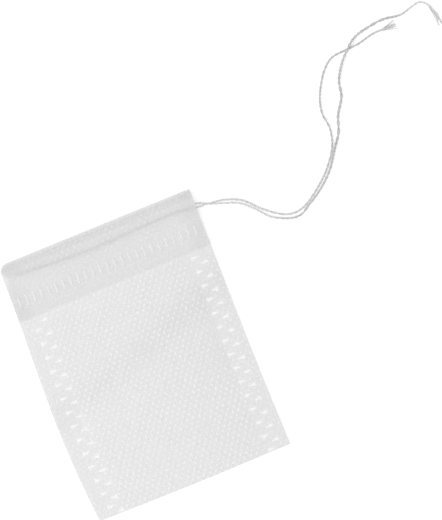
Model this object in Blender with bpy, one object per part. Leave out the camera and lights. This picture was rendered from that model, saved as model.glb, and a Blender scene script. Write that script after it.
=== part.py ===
# A flat drawstring filter bag, empty and lying on its back.
# One sheet of non-woven is folded at the bottom, its two tops are turned in as hems, and the
# sides are closed by two columns of weld marks. One thread runs through both hems.
# Metres, +Z up. X runs across the bag, +Y points to its mouth, the origin is under its middle.

from math import cos, exp, pi, radians, sin

import bmesh
import bpy
from mathutils import Vector

# The bag as it lies. "Down" is measured on the bag from the front mouth fold to the bottom.
BAG_WIDTH = 0.0600
BAG_LENGTH = 0.0793
SHEET = 0.00015  # thickness of the non-woven
LAYER_GAP = 0.00015  # air between two layers that lie on each other
PUFF = 0.0009  # how far the front stands up in the middle of the bag
LEFT_BULGE = 0.00138  # how far the left edge bows out
RIGHT_HOLLOW = 0.00032  # how far the right edge bows in
BOW_SKEW = 1.5  # both bows are deepest below half height, the more so the larger this is
LEAN = 0.0010  # the mouth lies this much further right than the bottom
MOUTH_DROOP = 0.0002  # the mouth is this much lower at its right end
DROOP_FADE = 0.0060
FOLD_SLANT = 0.00025  # the bottom fold is this much lower at its right end
FOLD_SAG = 0.0003  # and this much lower in its middle
CORNER_PULL = 0.0014  # the thread draws the left mouth corner down this much
CORNER_REACH = 0.0030

# Hems and the channels in them. The back run of the thread lies nearer to the mouth than the
# front run, so that the two lie beside each other and not on each other.
HEM_DEPTH = 0.0164  # front mouth fold to the free edges of the flaps
BACK_RISE = 0.00065  # the back hem stands this much higher than the front one
MOUTH_FOLD_RADIUS = 0.00030
CHANNEL_START = 0.0026  # the front panel lies level over both runs from here
CHANNEL_END = 0.0060  # to here
FLAP_RISE = 0.00125  # the flaps go up over the back run, and down again, in this length
THREAD = 0.00065
THREAD_CLEARANCE = 0.0001  # over and under the thread in its channel
TURN_DEPTH = 0.0028  # front mouth fold to the thread's turn
TURN_NOTCH = 0.0016  # the turn draws the flaps' side edges in this much
TURN_NOTCH_REACH = 0.0070

# Dashes that weld each flap to its panel
WELD_RECESS = 0.00006
DASH_LENGTH = 0.0032
DASH_WIDTH = 0.0004
DASH_PITCH = 0.0023
DASH_DEPTH = 0.0097  # front mouth fold to the near ends of the dashes
DASH_MARGIN = 0.0020  # left edge to the first dash

# Triangular marks that weld the two panels at each side
SEAM_MARGIN = 0.00305  # side edge to the flat ends of the outer marks
SEAM_SHIFT = 0.00035  # the marks of both sides sit this much further right
SEAM_DEPTH = 0.00445  # across both columns
MARK_LENGTH = 0.0026
MARK_BASE = 0.0016
MARK_WAIST = 0.0009
MARK_TIP = 0.00015
MARK_PITCH = 0.00428
LOWEST_MARK = 0.00065  # bottom fold to the middle of the lowest mark, which the fold cuts off
MARK_STAGGER = 0.00214  # the outer column sits this much higher than the inner one

ARC_STEPS = 6
BODY_ROWS = 10
BODY_STATIONS = 8

LAYER = SHEET + LAYER_GAP
CHANNEL = SHEET + THREAD + 2 * THREAD_CLEARANCE
SEAM_END = SEAM_MARGIN + SEAM_DEPTH
DASH_END = DASH_DEPTH + DASH_LENGTH
HEM_STEP = 4 * LAYER  # the front comes down over the flaps' edges in this length
CENTRE_ACROSS = (BAG_WIDTH + LEAN / 2 - LEFT_BULGE) / 2
CENTRE_DOWN = (BAG_LENGTH + FOLD_SAG - BACK_RISE) / 2

# The thread: short tail from its end to the front hem, leftwards through that hem, round,
# rightwards through the back hem, and the long tail. It goes where the right mouth corner goes.
ROUTE_CORNER = (0.0307, 0.0394)  # where that corner lies for the points of this route
THREAD_ROUTE = (
    (0.1045, 0.0612, 0.00033),
    (0.1010, 0.0615, 0.00033),
    (0.0971, 0.0614, 0.00033),
    (0.0922, 0.0603, 0.00033),
    (0.0884, 0.0601, 0.00033),
    (0.0835, 0.0595, 0.00033),
    (0.0797, 0.0563, 0.00033),
    (0.0762, 0.0506, 0.00033),
    (0.0749, 0.0456, 0.00033),
    (0.0753, 0.0405, 0.00033),
    (0.0737, 0.0352, 0.00033),
    (0.0698, 0.0300, 0.00033),
    (0.0651, 0.0259, 0.00033),
    (0.0598, 0.0226, 0.00033),
    (0.0555, 0.0220, 0.00033),
    (0.0517, 0.0237, 0.00033),
    (0.0478, 0.0269, 0.00033),
    (0.0438, 0.0310, 0.00036),
    (0.0392, 0.0331, 0.00085),
    (0.0351, 0.0338, 0.00124),
    (0.0309, 0.0342, 0.00118),
    (0.0259, 0.0349, 0.00118),
    (0.0180, 0.0351, 0.00118),
    (0.0069, 0.0347, 0.00118),
    (-0.0041, 0.0346, 0.00118),
    (-0.0160, 0.0353, 0.00118),
    (-0.0250, 0.0360, 0.00118),
    (-0.02785, 0.0362, 0.00118),
    (-0.02834, 0.03638, 0.00109),
    (-0.02854, 0.03683, 0.00088),
    (-0.02834, 0.03727, 0.00066),
    (-0.02785, 0.03745, 0.00058),
    (-0.0250, 0.0374, 0.00058),
    (-0.0140, 0.0368, 0.00058),
    (0.0000, 0.0361, 0.00058),
    (0.0140, 0.0365, 0.00058),
    (0.0250, 0.0363, 0.00058),
    (0.0309, 0.0354, 0.00058),
    (0.0346, 0.0337, 0.00036),
    (0.0382, 0.0324, 0.00033),
    (0.0426, 0.0306, 0.00033),
    (0.0463, 0.0272, 0.00033),
    (0.0496, 0.0235, 0.00033),
    (0.0544, 0.0210, 0.00033),
    (0.0580, 0.0207, 0.00033),
    (0.0610, 0.0223, 0.00033),
    (0.0657, 0.02515, 0.00033),
    (0.0705, 0.0293, 0.00033),
    (0.0744, 0.0347, 0.00033),
    (0.0772, 0.0387, 0.00033),
    (0.0789, 0.0432, 0.00033),
    (0.0819, 0.0479, 0.00033),
    (0.0830, 0.0524, 0.00040),
    (0.0856, 0.0567, 0.00085),
    (0.0890, 0.0602, 0.00125),
    (0.0925, 0.0627, 0.00085),
    (0.0979, 0.0639, 0.00033),
    (0.1020, 0.0642, 0.00033),
    (0.1069, 0.0635, 0.00033),
    (0.1110, 0.0645, 0.00033),
    (0.1134, 0.0648, 0.00033),
    (0.1155, 0.0631, 0.00033),
    (0.1169, 0.0592, 0.00033),
    (0.1172, 0.0566, 0.00033),
)
BACK_TURN = 31  # the route's point where the back run starts
BACK_EXIT = 37  # and where it leaves the hem
CURVE_STEPS = 12
PLACE_STEPS = 4
THREAD_POINTS = 80
BEND_SHARE = 0.006  # metres of thread that a turn of one radian counts as when points are spread


def clear_scene():
    for item in list(bpy.data.objects):
        bpy.data.objects.remove(item, do_unlink=True)


def make_material(name, colour, roughness):
    material = bpy.data.materials.new(name)
    material.use_nodes = True
    shader = material.node_tree.nodes["Principled BSDF"]
    shader.inputs["Base Color"].default_value = (*colour, 1.0)
    shader.inputs["Roughness"].default_value = roughness
    shader.inputs["Metallic"].default_value = 0.0
    return material


def show(name, data, material=None):
    piece = bpy.data.objects.new(name, data)
    bpy.context.scene.collection.objects.link(piece)
    if material:
        data.materials.append(material)
    return piece


def ease(value):
    value = min(max(value, 0.0), 1.0)
    return value * value * (3 - 2 * value)


# Heights of the four layers, each to the middle of the sheet


def level(layer):
    """Height of a layer where all lie flat on each other: 0 is the back panel."""
    return SHEET / 2 + layer * LAYER


def back_flap_height(down, thread_down):
    """The flap runs level from its fold, goes over the back run, and then lies on its panel."""
    away = (down - thread_down) / FLAP_RISE
    beside = level(1) if away > 0 else level(0) + 2 * MOUTH_FOLD_RADIUS
    over = level(0) + CHANNEL
    return beside + (over - beside) * cos(pi / 2 * min(abs(away), 1.0)) ** 2


def front_flap_height(down, thread_down):
    return back_flap_height(down, thread_down) + LAYER


def front_hem_height(down):
    """The front panel over its hem: level over both runs, and down on its flap at the dashes."""
    folded = level(1) + 4 * MOUTH_FOLD_RADIUS
    full = level(2) + CHANNEL
    opening = (down - MOUTH_FOLD_RADIUS) / (CHANNEL_START - MOUTH_FOLD_RADIUS)
    if opening < 1:
        return folded + (full - folded) * sin(pi / 2 * max(opening, 0.0))
    closing = (down - CHANNEL_END) / (DASH_DEPTH - LAYER - CHANNEL_END)
    return full + (level(3) - full) * ease(closing)


def fullness(across):
    inside = (across - SEAM_END) / (BAG_WIDTH - 2 * SEAM_END)
    return sin(pi * min(max(inside, 0.0), 1.0))


def front_panel_height(across, down):
    if down <= HEM_DEPTH:
        return front_hem_height(down)
    full = fullness(across)
    below_hem = down - HEM_DEPTH
    run_out = HEM_STEP + (BAG_LENGTH - HEM_DEPTH) / 4 * full
    from_hem = 2 * LAYER * (1 - ease(below_hem / run_out))
    from_fold = sin(pi / 2 * min((BAG_LENGTH - down) / (BAG_LENGTH / 3), 1.0))
    return level(1) + from_hem + PUFF * full * from_fold * ease(below_hem / HEM_DEPTH)


# Places in plan


def lay(across, down, in_flap=False):
    """Where a point of the flat pattern comes to lie."""
    share = across / BAG_WIDTH
    along = down / BAG_LENGTH
    lean = LEAN * (0.5 - along)
    bow = LEFT_BULGE * (1 - share) + RIGHT_HOLLOW * share
    bow *= sin(pi * min(max(along, 0.0), 1.0) ** BOW_SKEW)
    droop = MOUTH_DROOP * share**2 * exp(-max(down, 0.0) / DROOP_FADE)
    sag = FOLD_SLANT * (share - 0.5) * along + FOLD_SAG * sin(pi * share) * along**3
    corner = max(0.0, 1 - across / CORNER_REACH) ** 3
    pull = CORNER_PULL * corner * max(0.0, 1 - max(down, 0.0) / CHANNEL_START)
    notch = 0.0
    if in_flap:
        near_turn = max(0.0, 1 - ((down - TURN_DEPTH) / TURN_DEPTH) ** 2)
        notch = TURN_NOTCH * near_turn * max(0.0, 1 - across / TURN_NOTCH_REACH)
    x = across + lean - bow + notch - CENTRE_ACROSS
    y = CENTRE_DOWN - down - droop - sag - pull
    return x, y


def pattern_place(x, y):
    """The point of the flat pattern that comes to lie at x and y."""
    across = x + CENTRE_ACROSS
    down = CENTRE_DOWN - y
    for _ in range(PLACE_STEPS):
        laid_x, laid_y = lay(across, down)
        across += x - laid_x
        down += laid_y - y
    return across, down


def thread_curve():
    corner = Vector((*lay(BAG_WIDTH, 0.0), 0.0))
    shift = corner - Vector((*ROUTE_CORNER, 0.0))
    return smooth_route([Vector(point) + shift for point in THREAD_ROUTE])


def back_run():
    """Where the back run of the thread lies on the pattern, from left to right."""
    curve = thread_curve()
    start = BACK_TURN * CURVE_STEPS
    end = BACK_EXIT * CURVE_STEPS
    return [pattern_place(point.x, point.y) for point in curve[start : end + 1]]


def depth_at(run, across):
    """How far down the bag a run lies at one place across it."""
    for (here, down), (after, next_down) in zip(run, run[1:]):
        if across < after:
            share = max(across - here, 0.0) / (after - here)
            return down + (next_down - down) * share
    return run[-1][1]


# The folded sheet


def fold_arc(centre_down, centre_height, radius, start, end):
    """Points between two angles, ends left out. 0 degrees points down the bag."""
    points = []
    for step in range(1, ARC_STEPS):
        angle = radians(start + (end - start) * step / ARC_STEPS)
        points.append((centre_down + radius * cos(angle), centre_height + radius * sin(angle)))
    return points


def flap_rows(thread_down):
    """Depths of the rows across a flap, from its fold to its free edge."""
    rows = [MOUTH_FOLD_RADIUS]
    for third in range(-3, 4):
        rows.append(thread_down + FLAP_RISE * third / 3)
    return rows + [DASH_DEPTH - LAYER, (DASH_END + HEM_DEPTH) / 2, HEM_DEPTH]


def hem_rows():
    """Depths of the rows across the front panel's hem, from its fold to the flap's edge."""
    closed = DASH_DEPTH - LAYER
    rows = [MOUTH_FOLD_RADIUS, (MOUTH_FOLD_RADIUS + CHANNEL_START) / 2, CHANNEL_START]
    rows.append((CHANNEL_START + CHANNEL_END) / 2)
    for third in range(4):
        rows.append(CHANNEL_END + (closed - CHANNEL_END) * third / 3)
    return rows + [(DASH_END + HEM_DEPTH) / 2, HEM_DEPTH]


def body_rows():
    """Depths of the rows below the hem, closer together at both ends."""
    start = HEM_DEPTH + HEM_STEP
    end = BAG_LENGTH - LAYER / 2
    rows = [HEM_DEPTH + HEM_STEP / 2, start]
    for row in range(1, BODY_ROWS + 1):
        rows.append(start + (end - start) * (1 - cos(pi * row / BODY_ROWS)) / 2)
    return rows


def sheet_section(across, thread_down):
    """The sheet's path at one place across the bag, from the front flap's free edge over the
    front, round the bottom and up the back to the back flap's free edge."""
    radius = MOUTH_FOLD_RADIUS
    rows = flap_rows(thread_down)
    path = [(down, front_flap_height(down, thread_down), True) for down in reversed(rows)]
    middle = front_flap_height(radius, thread_down) + radius
    path += [(*point, False) for point in fold_arc(radius, middle, radius, -90, -270)]
    for down in hem_rows() + body_rows():
        path.append((down, front_panel_height(across, down), False))
    turn = LAYER / 2
    middle = level(0) + turn
    path += [(*point, False) for point in fold_arc(BAG_LENGTH - turn, middle, turn, 90, -90)]
    for down in reversed(body_rows()[1:]):
        path.append((down, level(0), False))
    back_fold = radius - BACK_RISE
    for down in (HEM_DEPTH, DASH_DEPTH, CHANNEL_START, back_fold):
        path.append((down, level(0), False))
    middle = level(0) + radius
    path += [(*point, False) for point in fold_arc(back_fold, middle, radius, -90, -270)]
    path.append((back_fold, back_flap_height(back_fold, thread_down), False))
    return path + [(down, back_flap_height(down, thread_down), True) for down in rows]


def stations():
    """Places across the bag where the section is worked out."""
    seam = SEAM_END + LAYER
    places = [0.0, CORNER_REACH / 3, CORNER_REACH * 0.8]
    for step in range(BODY_STATIONS + 1):
        places.append(seam + (BAG_WIDTH - 2 * seam) * step / BODY_STATIONS)
    return places + [BAG_WIDTH - SEAM_MARGIN * 0.7, BAG_WIDTH]


def make_folded_sheet():
    mesh = bmesh.new()
    run = back_run()
    sections = []
    for across in stations():
        section = []
        for down, height, in_flap in sheet_section(across, depth_at(run, across)):
            x, y = lay(across, down, in_flap)
            section.append(mesh.verts.new((x, y, height)))
        sections.append(section)
    for left, right in zip(sections, sections[1:]):
        for row in range(len(left) - 1):
            mesh.faces.new((left[row], left[row + 1], right[row + 1], right[row]))
    bmesh.ops.triangulate(mesh, faces=mesh.faces)
    data = bpy.data.meshes.new("filter_pouch")
    mesh.to_mesh(data)
    mesh.free()
    return data


# Weld marks


def add_prism(mesh, outline, low, high):
    """A closed prism over an outline that runs counter-clockwise in plan."""
    bottom = [mesh.verts.new((*point, low)) for point in outline]
    top = [mesh.verts.new((*point, high)) for point in outline]
    mesh.faces.new(list(reversed(bottom)))
    mesh.faces.new(top)
    for here in range(len(outline)):
        after = (here + 1) % len(outline)
        mesh.faces.new((bottom[here], bottom[after], top[after], top[here]))


def lay_outline(pattern):
    outline = [Vector(lay(across, down)) for across, down in pattern]
    area = sum(a.cross(b) for a, b in zip(outline, outline[1:] + outline[:1]))
    if area < 0:
        outline.reverse()
    return outline


def mark_outline(base_across, down, towards):
    """A triangle with hollow flanks, flat end at base_across, pointing along towards."""
    waist = base_across + towards * MARK_LENGTH / 3
    tip = base_across + towards * MARK_LENGTH
    flank = ((base_across, MARK_BASE / 2), (waist, MARK_WAIST / 2), (tip, MARK_TIP / 2))
    lowest = BAG_LENGTH - LAYER
    pattern = [(across, down - half) for across, half in flank]
    pattern += [(across, min(down + half, lowest)) for across, half in reversed(flank)]
    return lay_outline(pattern)


def seam_outlines():
    outlines = []
    clear_of_hem = HEM_DEPTH + HEM_STEP + MARK_BASE / 2
    columns = ((SEAM_MARGIN, MARK_STAGGER, 1), (SEAM_END, 0.0, -1))
    for base, raised, towards in columns:
        down = BAG_LENGTH - LOWEST_MARK - raised
        while down > clear_of_hem:
            outlines.append(mark_outline(SEAM_SHIFT + base, down, towards))
            outlines.append(mark_outline(SEAM_SHIFT + BAG_WIDTH - base, down, -towards))
            down -= MARK_PITCH
    return outlines


def dash_outlines():
    outlines = []
    across = DASH_MARGIN
    while across < BAG_WIDTH - DASH_PITCH / 3:
        left = across - DASH_WIDTH / 2
        right = across + DASH_WIDTH / 2
        pattern = ((left, DASH_DEPTH), (left, DASH_END), (right, DASH_END), (right, DASH_DEPTH))
        outlines.append(lay_outline(pattern))
        across += DASH_PITCH
    return outlines


def make_weld_joins():
    """Where the layers are melted together: prisms that end inside the sheets they join."""
    mesh = bmesh.new()
    for outline in seam_outlines():
        add_prism(mesh, outline, level(0), level(1))
    for outline in dash_outlines():
        add_prism(mesh, outline, level(0), level(1))
        add_prism(mesh, outline, level(2), level(3))
    data = bpy.data.meshes.new("weld_joins")
    mesh.to_mesh(data)
    mesh.free()
    return data


def make_weld_recesses():
    """The hollows that the welding tool leaves in the outer faces."""
    mesh = bmesh.new()
    underside = (-SHEET, WELD_RECESS)
    for outline in seam_outlines():
        add_prism(mesh, outline, *underside)
        add_prism(mesh, outline, level(1) + SHEET / 2 - WELD_RECESS, level(2))
    for outline in dash_outlines():
        add_prism(mesh, outline, *underside)
        add_prism(mesh, outline, level(3) + SHEET / 2 - WELD_RECESS, level(4))
    data = bpy.data.meshes.new("weld_recesses")
    mesh.to_mesh(data)
    mesh.free()
    return data


def add_cutter(piece, operation, data):
    cutter = show(data.name, data)
    cutter.hide_render = True
    cutter.display_type = "WIRE"
    boolean = piece.modifiers.new(data.name, "BOOLEAN")
    boolean.operation = operation
    boolean.solver = "EXACT"
    boolean.object = cutter


def make_pouch():
    fleece = make_material("white_nonwoven", (0.86, 0.86, 0.85), 0.85)
    pouch = show("filter_pouch", make_folded_sheet(), fleece)
    wall = pouch.modifiers.new("sheet_thickness", "SOLIDIFY")
    wall.thickness = SHEET
    wall.offset = 0.0
    wall.use_even_offset = True
    add_cutter(pouch, "UNION", make_weld_joins())
    add_cutter(pouch, "DIFFERENCE", make_weld_recesses())


# The thread


def smooth_route(route):
    """A Catmull-Rom curve through the route, never lower than lying on the table."""
    before = 2 * route[0] - route[1]
    after = 2 * route[-1] - route[-2]
    points = [before, *route, after]
    curve = []
    for a, b, c, d in zip(points, points[1:], points[2:], points[3:]):
        for step in range(CURVE_STEPS):
            t = step / CURVE_STEPS
            bend = (2 * a - 5 * b + 4 * c - d) * t * t + (3 * b - a - 3 * c + d) * t**3
            curve.append((2 * b + (c - a) * t + bend) / 2)
    curve.append(points[-2])
    for point in curve:
        point.z = max(point.z, THREAD / 2)
    return curve


def spread_points(curve, count):
    """Points along a curve, closer together where it bends."""
    travel = [0.0]
    for here in range(1, len(curve)):
        step = curve[here] - curve[here - 1]
        turn = 0.0
        if here > 1:
            turn = step.angle(curve[here - 1] - curve[here - 2], 0.0)
        travel.append(travel[-1] + step.length + BEND_SHARE * turn)
    chosen = []
    here = 0
    for number in range(count):
        target = travel[-1] * number / (count - 1)
        while here < len(curve) - 2 and travel[here + 1] < target:
            here += 1
        share = (target - travel[here]) / (travel[here + 1] - travel[here])
        chosen.append(curve[here].lerp(curve[here + 1], min(share, 1.0)))
    return chosen


def make_drawstring():
    points = spread_points(thread_curve(), THREAD_POINTS)
    data = bpy.data.curves.new("drawstring", "CURVE")
    data.dimensions = "3D"
    data.bevel_depth = THREAD / 2
    data.bevel_resolution = 2
    data.use_fill_caps = True
    spline = data.splines.new("POLY")
    spline.points.add(len(points) - 1)
    for spot, point in zip(spline.points, points):
        spot.co = (*point, 1.0)
        spot.radius = 1.0
    cotton = make_material("white_cotton_thread", (0.72, 0.72, 0.71), 0.9)
    show("drawstring", data, cotton)


clear_scene()
make_pouch()
make_drawstring()
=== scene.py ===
import random
from math import cos, exp, pi, radians, sin

import bmesh
import bpy
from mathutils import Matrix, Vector, noise


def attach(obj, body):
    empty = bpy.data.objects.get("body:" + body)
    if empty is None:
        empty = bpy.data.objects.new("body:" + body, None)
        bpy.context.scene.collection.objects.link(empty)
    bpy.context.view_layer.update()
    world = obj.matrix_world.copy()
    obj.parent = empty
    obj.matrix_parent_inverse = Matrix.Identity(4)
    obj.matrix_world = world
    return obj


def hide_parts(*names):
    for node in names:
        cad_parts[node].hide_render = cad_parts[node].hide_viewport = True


# A flat drawstring filter bag of white non-woven, lying on its back with its thread loose.
# Everything is in metres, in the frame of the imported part.

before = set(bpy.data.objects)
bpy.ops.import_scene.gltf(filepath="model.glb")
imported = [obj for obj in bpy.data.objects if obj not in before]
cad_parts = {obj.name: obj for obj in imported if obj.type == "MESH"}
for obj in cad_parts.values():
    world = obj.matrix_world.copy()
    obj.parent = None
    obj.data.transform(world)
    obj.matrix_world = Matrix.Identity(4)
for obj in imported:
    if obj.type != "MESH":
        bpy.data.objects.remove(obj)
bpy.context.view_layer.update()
scene = bpy.context.scene
print("part loaded")


def addObject(name, data):
    item = bpy.data.objects.new(name, data)
    scene.collection.objects.link(item)
    return item


# Camera

viewOfBag = {
    "turn": 22.39,  # degrees that the bag lies turned in the picture
    "centre": (0.03164, 0.017215),
    "distance": 0.70,
    "pictureHeight": 0.1516,  # metres that the picture shows from top to bottom
    "sensor": 36.0,
    "reach": (0.01, 10.0),
}


def addCamera():
    data = bpy.data.cameras.new("camera")
    data.sensor_fit = "VERTICAL"
    data.sensor_height = viewOfBag["sensor"]
    data.lens = viewOfBag["sensor"] * viewOfBag["distance"] / viewOfBag["pictureHeight"]
    data.clip_start, data.clip_end = viewOfBag["reach"]
    camera = addObject("camera", data)
    camera.location = (*viewOfBag["centre"], viewOfBag["distance"])
    camera.rotation_euler = (0.0, 0.0, -radians(viewOfBag["turn"]))
    scene.camera = camera


addCamera()
print("camera placed")


# Small helpers for objects and meshes


def makeActive(piece):
    for item in bpy.context.selected_objects:
        item.select_set(False)
    piece.select_set(True)
    bpy.context.view_layer.objects.active = piece


def applyModifiers(piece):
    makeActive(piece)
    for modifier in list(piece.modifiers):
        bpy.ops.object.modifier_apply(modifier=modifier.name)


def pieceFrom(name, mesh):
    data = bpy.data.meshes.new(name)
    mesh.to_mesh(data)
    mesh.free()
    return addObject(name, data)


def setMaterials(piece, materials):
    for material in materials:
        piece.data.materials.append(material)


def ease(value):
    value = min(max(value, 0.0), 1.0)
    return value * value * (3 - 2 * value)


# Node helpers. Every material is procedural.


class Wire:
    # a node's output that can be reckoned with like a number
    def __init__(self, socket):
        self.socket = socket

    def __add__(self, other):
        return calc("ADD", self, other)

    def __sub__(self, other):
        return calc("SUBTRACT", self, other)

    def __mul__(self, other):
        return calc("MULTIPLY", self, other)

    def __truediv__(self, other):
        return calc("DIVIDE", self, other)


def addNode(tree, kind, **settings):
    node = tree.nodes.new("ShaderNode" + kind)
    for key, value in settings.items():
        setattr(node, key, value)
    return node


def feed(inputs, values):
    for key, value in values.items():
        if isinstance(value, Wire):
            inputs[key].id_data.links.new(value.socket, inputs[key])
        else:
            inputs[key].default_value = value


def wiresOf(kind, values, **settings):
    # a new node in the tree that its first wire comes from, and its outputs
    tree = next(item.socket.id_data for item in values.values() if isinstance(item, Wire))
    node = addNode(tree, kind, **settings)
    feed(node.inputs, values)
    return [Wire(socket) for socket in node.outputs]


def calc(operation, *values, clamp=False):
    inputs = dict(enumerate(values))
    return wiresOf("Math", inputs, operation=operation, use_clamp=clamp)[0]


def remap(value, fromLow, fromHigh, toLow=0.0, toHigh=1.0, smooth=False):
    inputs = dict(enumerate((value, fromLow, fromHigh, toLow, toHigh)))
    blend = "SMOOTHSTEP" if smooth else "LINEAR"
    return wiresOf("MapRange", inputs, clamp=True, interpolation_type=blend)[0]


def vectorCalc(operation, first, second):
    inputs = {0: first, "Scale" if operation == "SCALE" else 1: second}
    return wiresOf("VectorMath", inputs, operation=operation)[0]


def splitXY(vector):
    return wiresOf("SeparateXYZ", {0: vector})[:2]


def joinXYZ(*values):
    return wiresOf("CombineXYZ", dict(enumerate(values)))[0]


def greyOf(value):
    return (value, value, value, 1.0)


def mixColour(factor, first, second):
    return wiresOf("Mix", {0: factor, 6: first, 7: second}, data_type="RGBA")[2]


def cloudNoise(place, scale, detail, roughness=0.5, dimensions="3D"):
    inputs = {"Scale": scale, "Detail": detail, "Roughness": roughness}
    inputs["W" if dimensions == "1D" else "Vector"] = place
    return wiresOf("TexNoise", inputs, noise_dimensions=dimensions)


def streaks(place, turn, stretch, scale, detail=3.0, roughness=0.6):
    # noise drawn out along one direction
    inputs = {"Rotation": (0.0, 0.0, radians(turn)), "Scale": (1.0, 1.0 / stretch, 1.0)}
    turned = wiresOf("Mapping", {"Vector": place, **inputs})[0]
    return cloudNoise(turned, scale, detail, roughness)[0]


def addBump(height, strength, distance):
    inputs = {"Strength": strength, "Distance": distance, "Height": height}
    return wiresOf("Bump", inputs)[0]


def newMaterial(name):
    # a material, its tree and the inputs of its shader
    material = bpy.data.materials.new(name)
    material.use_nodes = True
    tree = material.node_tree
    return material, tree, tree.nodes["Principled BSDF"].inputs


def uvWire(tree, name):
    return Wire(addNode(tree, "UVMap", uv_map=name).outputs[0])


def newGroup(name, values, results):
    # a group that takes a place and some values and gives back others
    group = bpy.data.node_groups.new(name, "ShaderNodeTree")
    addSocket = group.interface.new_socket
    addSocket("Place", in_out="INPUT", socket_type="NodeSocketVector")
    for label, value in values.items():
        addSocket(label, in_out="INPUT", socket_type="NodeSocketFloat").default_value = value
    for label in results:
        addSocket(label, in_out="OUTPUT", socket_type="NodeSocketFloat")
    given = {socket.name: Wire(socket) for socket in group.nodes.new("NodeGroupInput").outputs}
    return group, given, group.nodes.new("NodeGroupOutput").inputs


def addGroup(group, place):
    return wiresOf("Group", {"Place": place}, node_tree=group)


dotRows = {
    "pitch": 1.85,  # millimetres from dot to dot in a row
    "rowPitch": 1.375,
    "length": 0.80,
    "width": 0.50,
    "slant": 0.50,  # radians
    "wander": 0.80,  # how far the rows wander from straight, in millimetres
    "wanderScale": 0.35,
    "smallest": 0.46,  # half a dot's size, as a share of its length and width
    "sizeSpread": 0.14,
    "softness": 0.09,
}


def makeDotBond():
    # Rows of small slanted ovals where the fibres are pressed together. Every other row is
    # shifted by half a pitch and slants the other way.
    keys = ("pitch", "rowPitch", "length", "width", "slant", "wander")
    values = {key: dotRows[key] for key in keys}
    group, given, result = newGroup("dotBond", values, ("Dots", "Chance"))
    wander = cloudNoise(given["Place"], dotRows["wanderScale"], 2.0)[1]
    shift = vectorCalc("SCALE", vectorCalc("SUBTRACT", wander, (0.5, 0.5, 0.5)), given["wander"])
    x, y = splitXY(vectorCalc("ADD", given["Place"], shift))
    rows = y / given["rowPitch"]
    row = calc("FLOOR", rows)
    odd = calc("FLOORED_MODULO", row, 2.0)
    columns = x / given["pitch"] + odd * 0.5
    column = calc("FLOOR", columns)
    chance = wiresOf("TexWhiteNoise", {"Vector": joinXYZ(column, row)})[0]
    inX = (columns - column - 0.5) * given["pitch"]
    inY = (rows - row - 0.5) * given["rowPitch"]
    angle = (odd * 2.0 - 1.0) * given["slant"]
    cosine = calc("COSINE", angle)
    sine = calc("SINE", angle)
    wide = (inX * cosine + inY * sine) / given["width"]
    tall = (inY * cosine - inX * sine) / given["length"]
    reach = calc("SQRT", wide * wide + tall * tall)  # 0.5 on the oval's rim
    edge = chance * dotRows["sizeSpread"] + dotRows["smallest"] - reach
    dots = remap(edge, -dotRows["softness"], dotRows["softness"], smooth=True)
    feed(result, {"Dots": dots, "Chance": chance})
    return group


fleeceLook = {
    "turns": (12.0, 71.0, 128.0),  # degrees that the three lays of fibres run at
    "stretch": 9.0,
    "fibreScale": 7.0,
    "fibreRange": (0.45, 0.80),
    "cloudScale": 1.1,
    "cloudRange": (0.25, 0.75),
}


def makeFibreFleece():
    # Fine fibres laid down in all directions, with thicker and thinner places.
    group, given, result = newGroup("fibreFleece", {"Fineness": 1.0}, ("Fibres", "Clouds"))
    place = vectorCalc("SCALE", given["Place"], given["Fineness"])
    fibres = None
    for turn in fleeceLook["turns"]:
        one = streaks(place, turn, fleeceLook["stretch"], fleeceLook["fibreScale"])
        fibres = one if fibres is None else calc("MAXIMUM", fibres, one)
    clouds = streaks(place, 0.0, 1.0, fleeceLook["cloudScale"], 4.0)
    fibres = remap(fibres, *fleeceLook["fibreRange"])
    feed(result, {"Fibres": fibres, "Clouds": remap(clouds, *fleeceLook["cloudRange"])})
    return group


dotBond = makeDotBond()
fibreFleece = makeFibreFleece()
print("texture groups made")


# How the bag lies. "Down" runs from the front mouth fold to the bottom.

pouch = {
    "width": 0.0600,
    "length": 0.0793,
    "sheet": 0.00015,
    "layerGap": 0.00015,
    "leftBulge": 0.00138,
    "rightHollow": 0.00032,
    "bowSkew": 1.5,
    "lean": 0.0010,
    "mouthDroop": 0.0002,
    "droopFade": 0.0060,
    "foldSlant": 0.00025,
    "foldSag": 0.0003,
    "cornerPull": 0.0014,
    "cornerReach": 0.0030,
    "hemDepth": 0.0164,
    "backRise": 0.00065,
    "foldRadius": 0.00030,
    "clearance": 0.0001,  # over and under the thread in its channel
    "flapRise": 0.00125,  # the flaps go up over the back run, and down again, in this length
    "flatAbove": 0.0014,  # the front panel is at its highest from here above the front run
    "flatBelow": 0.0004,  # to here below it
    "closing": 0.0046,  # and comes down on its flap in this length
    "pullStart": 0.0026,
    "turnDepth": 0.0028,
    "turnNotch": 0.0016,
    "turnNotchReach": 0.0070,
    "seamMargin": 0.00305,  # side edge to the flat ends of the outer weld marks
    "seamDepth": 0.00445,  # across both columns of marks
    "columns": 84,
    "bodyRows": 96,
    "backRows": 40,
    "hemRows": 36,
    "backTopRows": 12,
    "foldSteps": 8,
    "fray": 0.00005,  # how far the cut side edges waver
    "frayScale": 900.0,
}

hemDepth = pouch["hemDepth"]
foldRadius = pouch["foldRadius"]
layer = pouch["sheet"] + pouch["layerGap"]
seamEnd = pouch["seamMargin"] + pouch["seamDepth"]
centreAcross = (pouch["width"] + pouch["lean"] / 2 - pouch["leftBulge"]) / 2
centreDown = (pouch["length"] + pouch["foldSag"] - pouch["backRise"]) / 2


def levelOf(number):
    # height of a layer where all lie flat on each other: 0 is the back panel
    return pouch["sheet"] / 2 + number * layer


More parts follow.
